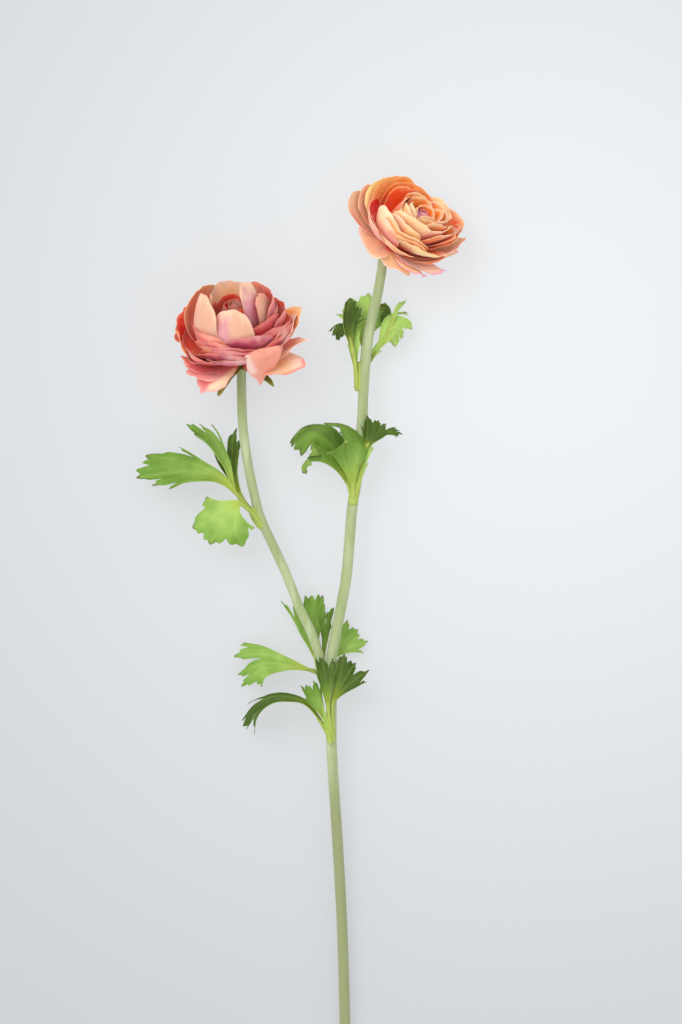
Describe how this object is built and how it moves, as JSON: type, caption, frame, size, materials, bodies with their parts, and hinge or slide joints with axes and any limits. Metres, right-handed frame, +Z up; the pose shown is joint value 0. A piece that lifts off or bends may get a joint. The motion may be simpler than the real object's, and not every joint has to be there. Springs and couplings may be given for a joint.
{
  "type": "ranunculus flower",
  "caption": "Cut ranunculus spray lying on a surface: a forked stem with layered round blooms and toothed, divided leaves on sheaths.",
  "frame": {"origin": "centre of the bounding box on the surface the spray lies on", "axes": "+Y from the cut end towards the blooms, +Z up from the surface, +X to the right when looking down with the blooms at the top"},
  "size_m": [0.1664, 0.465, 0.0534],
  "materials": {
    "stem": "pale grey-green moulded stem with a felt-like flocked surface",
    "leaf": "dyed green leaf cloth, lighter yellow-green at the base and ribs",
    "calyx": "olive green sepals",
    "petal_rose": "dyed petal cloth, deep red at the base to dusty rose, coral and mauve at the edge",
    "petal_peach": "dyed petal cloth, orange-red at the base to peach and cream at the edge"
  },
  "bodies": {
    "root": {"stem": "stem", "leaf_fork_low": "leaf", "leaf_fork_high": "leaf", "leaf_rose_branch": "leaf", "leaf_peach_low": "leaf", "leaf_peach_high": "leaf", "calyx_rose": "calyx", "calyx_peach": "calyx", "bloom_rose": "petal_rose", "bloom_peach": "petal_peach"}
  },
  "joints": []
}
